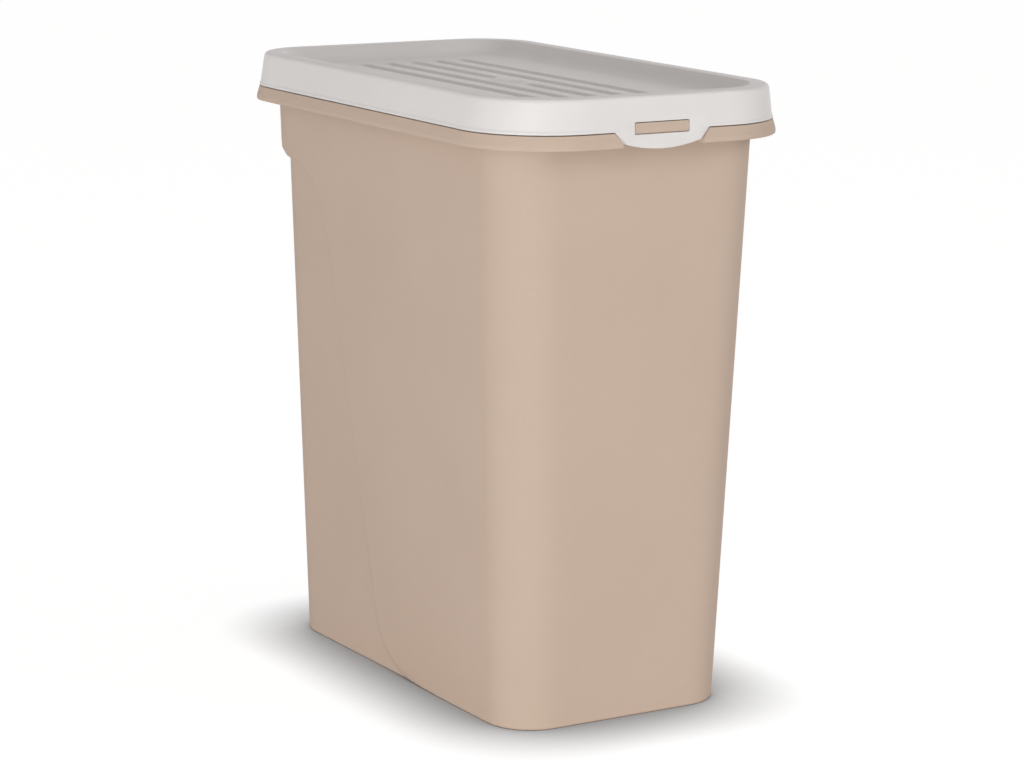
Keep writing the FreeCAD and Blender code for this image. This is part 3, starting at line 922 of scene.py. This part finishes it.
    def patch(self, skin: Skin, border: Sequence[Vert], floor_z: float,
              height: Callable[[float, float], float]) -> None:
        """Fills the middle of a floor with a fine grid and joins it to the ring round it.

        Args:
            skin: the mesh under construction.
            border: the ring's vertices.
            floor_z: height of the plain floor.
            height: rise or fall of the floor at a point.
        """
        xs, ys = self.stations_x(), self.stations_y()
        grid = [[skin.mesh.verts.new((x, y, floor_z + height(x, y))) for x in xs] for y in ys]
        for low, high in zip(grid, grid[1:]):
            for column in range(len(xs) - 1):
                skin.mesh.faces.new((low[column], low[column + 1], high[column + 1],
                                     high[column]))
        edge = grid[0][:-1] + [row[-1] for row in grid[:-1]]
        edge += list(reversed(grid[-1][1:])) + [row[0] for row in reversed(grid[1:])]
        shift = self.turns // 2
        skin.bridge(border, edge[shift:] + edge[:shift])

    def build_shell(self) -> bpy.types.Object:
        """Builds the lid's closed shell, before the latch window is cut."""
        skin = Skin("lid_shell")
        across = spread(0.0, 1.0, len(self.stations_x()) - 1 - self.turns)
        along = spread(0.0, 1.0, len(self.stations_y()) - 1 - self.turns)
        under = self.rings(self.inner_section(), across, along)
        over = self.rings(self.outer_section(), across, along)
        built = skin.stack(under + over[1:])
        floor_up = self.height - self.tray_depth
        self.patch(skin, built[-1], self.low_z + floor_up,
                   lambda x, y: self.pad_rise(x, y) - self.groove_drop(x, y, 0.0))
        self.patch(skin, built[0], self.low_z + floor_up - self.wall,
                   lambda x, y: -self.groove_drop(x, y, self.wall))
        return skin.finish(self.sharp_angle)

    def cut(self, item: bpy.types.Object, cutter: bpy.types.Object) -> None:
        """Takes the cutter's volume out of an object for good and removes the cutter."""
        tool = item.modifiers.new("cut", "BOOLEAN")
        tool.operation = "DIFFERENCE"
        tool.solver = "EXACT"
        tool.object = cutter
        bpy.context.view_layer.update()
        graph = bpy.context.evaluated_depsgraph_get()
        data = bpy.data.meshes.new_from_object(item.evaluated_get(graph))
        item.modifiers.clear()
        data.set_sharp_from_angle(angle=math.radians(self.sharp_angle))
        item.data = data
        bpy.data.objects.remove(cutter)

    def build(self, tab: "LatchTab") -> bpy.types.Object:
        """Builds the shell with its window for the latch tab."""
        shell = self.build_shell()
        self.cut(shell, tab.build_window(self))
        return shell


# ---- the latch tab
@dataclass(frozen=True)
class LatchTab:
    """Springy tab that continues the lid's front skirt and snaps over the catch."""

    half_width: float = 36.6 * MM
    foot_half: float = 30.5 * MM
    shoulder_drop: float = 7.6 * MM
    tip_drop: float = 12.0 * MM
    root_rise: float = 11.0 * MM
    thickness: float = 2.2 * MM
    slot_half: float = 21.4 * MM
    slot_drop: float = 2.3 * MM
    slot_height: float = 8.1 * MM
    slot_round: float = 0.7 * MM
    edge_round: float = 0.5 * MM
    foot_round: float = 1.0 * MM
    tip_steps: int = 28
    bend_length: float = 7.0 * MM
    cutter_margin: float = 10.0 * MM
    cutter_reach: float = 8.0 * MM
    nearly: float = 0.01 * MM
    sharp_angle: float = 35.0

    def build_window(self, lid: Lid) -> bpy.types.Object:
        """Box that cuts the tab's window through the skirt."""
        skin = Skin("latch_window_cutter")
        top = lid.low_z + self.root_rise
        bottom = lid.low_z - self.cutter_margin
        front = lid.front_y - self.cutter_margin
        back = lid.front_y + self.cutter_reach
        half = self.half_width
        plan = [(-half, front), (half, front), (half, back), (-half, back)]
        built = skin.stack([[Vector((x, y, z)) for x, y in plan] for z in (bottom, top)])
        for ring in built:
            skin.mesh.faces.new(ring)
        return skin.finish()

    def tip_points(self, lid: Lid) -> list[tuple[float, float]]:
        """Curved lower edge from right to left, as an arc through three points."""
        foot_z = lid.low_z - self.shoulder_drop
        sag = self.tip_drop - self.shoulder_drop
        radius = (self.foot_half ** 2 + sag ** 2) / (2 * sag)
        centre_z = foot_z - sag + radius
        sweep = math.asin(self.foot_half / radius)
        angles = spread(sweep, -sweep, self.tip_steps)
        return [(radius * math.sin(a), centre_z - radius * math.cos(a)) for a in angles]

    def build(self, lid: Lid) -> bpy.types.Object:
        """Builds the tab with its slot and softened free edges."""
        top = lid.low_z + self.root_rise
        tip = self.tip_points(lid)
        right = rounded_profile([(self.half_width, lid.low_z), (self.foot_half, tip[0][1]),
                                 tip[1]], [self.foot_round], 4)[:-1]
        left = [(-x, z) for x, z in reversed(right)]
        outer = [(-self.half_width, top), (self.half_width, top)]
        outer += right + tip[1:-1] + left
        slot_low = lid.low_z - self.slot_drop
        slot_high = slot_low + self.slot_height
        half = self.slot_half
        corners = [(0.0, slot_low), (half, slot_low), (half, slot_high), (-half, slot_high),
                   (-half, slot_low), (0.0, slot_low)]
        slot = rounded_profile(corners, [self.slot_round] * 4, 4)[:-1]
        skin = Skin("latch_tab_front")
        loops = []
        for outline in (outer, slot):
            verts = skin.add_ring([Vector((x, 0.0, z)) for x, z in outline])
            loops += [skin.mesh.edges.new((a, b)) for a, b in
                      zip(verts, verts[1:] + verts[:1])]
        bmesh.ops.triangle_fill(skin.mesh, use_beauty=True, edges=loops,
                                normal=(0.0, -1.0, 0.0))
        front = list(skin.mesh.faces)
        for face in front:
            if face.normal.y > 0:
                face.normal_flip()
        pushed = bmesh.ops.extrude_face_region(skin.mesh, geom=front)
        moved = [item for item in pushed["geom"] if isinstance(item, Vert)]
        back_verts = set(moved)
        for vert in skin.mesh.verts:
            vert.co.y = lid.face_y(vert.co.z)
            if vert in back_verts:
                vert.co.y += self.thickness
        self.soften(skin, lid, back_verts)
        return skin.finish(self.sharp_angle)

    def soften(self, skin: Skin, lid: Lid, back_verts: set[Vert]) -> None:
        """Rounds the front edges of the slot and of the free lower outline."""
        bmesh.ops.recalc_face_normals(skin.mesh, faces=skin.mesh.faces)
        chosen = []
        for edge in skin.mesh.edges:
            first, second = edge.verts
            if first in back_verts or second in back_verts or len(edge.link_faces) != 2:
                continue
            high = min(first.co.z, second.co.z)
            in_slot = max(abs(first.co.x), abs(second.co.x)) < self.slot_half + self.nearly
            in_slot = in_slot and high > lid.low_z - self.slot_drop - self.nearly
            in_slot = in_slot and high < lid.low_z + self.slot_height
            free = in_slot or high < lid.low_z - self.nearly
            if free and edge.calc_face_angle(0.0) > 1.0:
                chosen.append(edge)
        bmesh.ops.bevel(skin.mesh, geom=chosen, offset=self.edge_round, segments=3,
                        profile=0.5, affect="EDGES", clamp_overlap=True)


# ---- the hinge knuckles
@dataclass(frozen=True)
class Knuckle:
    """One barrel of the rear hinge with the web that carries it."""

    name: str
    middle: float
    half_length: float = 11.0 * MM
    radius: float = 2.9 * MM
    bore: float = 1.56 * MM
    web: float = 2.2 * MM
    web_rise: float = 4.0 * MM
    web_round: float = 0.4 * MM
    web_inset: float = 0.25 * MM
    web_clear: float = 0.3 * MM
    rim_round: float = 0.35 * MM
    steps: int = 40

    def build(self, lid: Lid, axis: Vector) -> list[bpy.types.Object]:
        """Builds the bored barrel and its web."""
        return [self.build_barrel(axis), self.build_web(lid, axis)]

    def build_barrel(self, axis: Vector) -> bpy.types.Object:
        """Builds the barrel as a tube with softened rims."""
        soft = self.rim_round
        half = self.half_length
        section = [(-half, self.bore), (-half, self.radius - soft),
                   (-half + soft, self.radius), (half - soft, self.radius),
                   (half, self.radius - soft), (half, self.bore)]
        skin = Skin(self.name + "_barrel")
        rings = []
        for x, radius in section:
            ring = []
            for step in range(self.steps):
                angle = 2 * math.pi * step / self.steps
                ring.append(Vector((self.middle + x, axis.y + radius * math.cos(angle),
                                    axis.z + radius * math.sin(angle))))
            rings.append(ring)
        built = skin.stack(rings)
        skin.bridge(built[-1], built[0])
        return skin.finish()

    def build_web(self, lid: Lid, axis: Vector) -> bpy.types.Object:
        """Builds the web from the barrel up to the rear skirt."""
        skin = Skin(self.name + "_web")
        half = self.half_length
        front = lid.rear_y - self.web
        back = lid.rear_y - self.web_inset
        low = axis.z + self.bore + self.web_clear
        high = lid.low_z + self.web_rise
        plan = rounded_profile([(0.0, front), (half, front), (half, back), (-half, back),
                                (-half, front), (0.0, front)], [self.web_round] * 4, 3)[:-1]
        rings = [[Vector((self.middle + x, y, z)) for x, y in plan] for z in (low, high)]
        for ring in skin.stack(rings):
            skin.mesh.faces.new(ring)
        return skin.finish()


# ---- the whole bin
@dataclass
class Bin:
    """The assembled bin: builds its pieces, dresses them, ties tub, lid and knuckles to bodies.
    """

    tub: Tub = field(default_factory=Tub)
    lid: Lid = field(default_factory=Lid)
    tab: LatchTab = field(default_factory=LatchTab)
    knuckle_reach: float = 48.0 * MM
    beige: MouldedPlastic = MouldedPlastic(
        "beige_plastic", colour=(0.64, 0.514, 0.418), shade=(0.62, 0.495, 0.40),
        rubbed=(0.685, 0.563, 0.468), roughness=0.58, gloss=0.12)
    white: MouldedPlastic = MouldedPlastic(
        "white_plastic", colour=(0.84, 0.835, 0.825), shade=(0.82, 0.81, 0.80),
        rubbed=(0.87, 0.87, 0.86), roughness=0.40, gloss=0.30)

    @staticmethod
    def joint(name: str) -> dict:
        """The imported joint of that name."""
        return next(joint for joint in frame["joints"] if joint["name"] == name)

    def place(self, item: bpy.types.Object, body: Body, slot: Slot,
              material: bpy.types.Material) -> None:
        """Dresses a piece, ties it to a body and reports it."""
        dress(item, material)
        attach(item, body.value)
        LOG.info("%s rides on %s in %s", item.name, body.value, slot.value)

    def build(self) -> None:
        """Builds and places every piece."""
        beige = self.beige.build()
        white = self.white.build()
        dress(frame["nodes"]["rim_collar"], beige)
        tub = self.tub.build()
        self.place(tub, Body.BIN, Slot.BEIGE, beige)
        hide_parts("bin_tub")
        lid = self.lid.build(self.tab)
        self.place(lid, Body.LID, Slot.WHITE, white)
        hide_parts("lid")
        axis = Vector(self.joint("lid_hinge")["pos_m"])
        for name, side in (("left_knuckle", -1), ("right_knuckle", 1)):
            middle = side * self.knuckle_reach
            for item in Knuckle(name, middle).build(self.lid, axis):
                self.place(item, Body.LID, Slot.WHITE, white)
        tab = self.tab.build(self.lid)
        dress(tab, white)
        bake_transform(tab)
        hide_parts("latch_tab")
        LOG.info("%s bends from the lid to the latch", tab.name)


def main() -> None:
    """Builds the studio and the bin."""
    logging.basicConfig(level=logging.INFO)
    Studio().build()
    Bin().build()


if __name__ == "__main__":
    main()
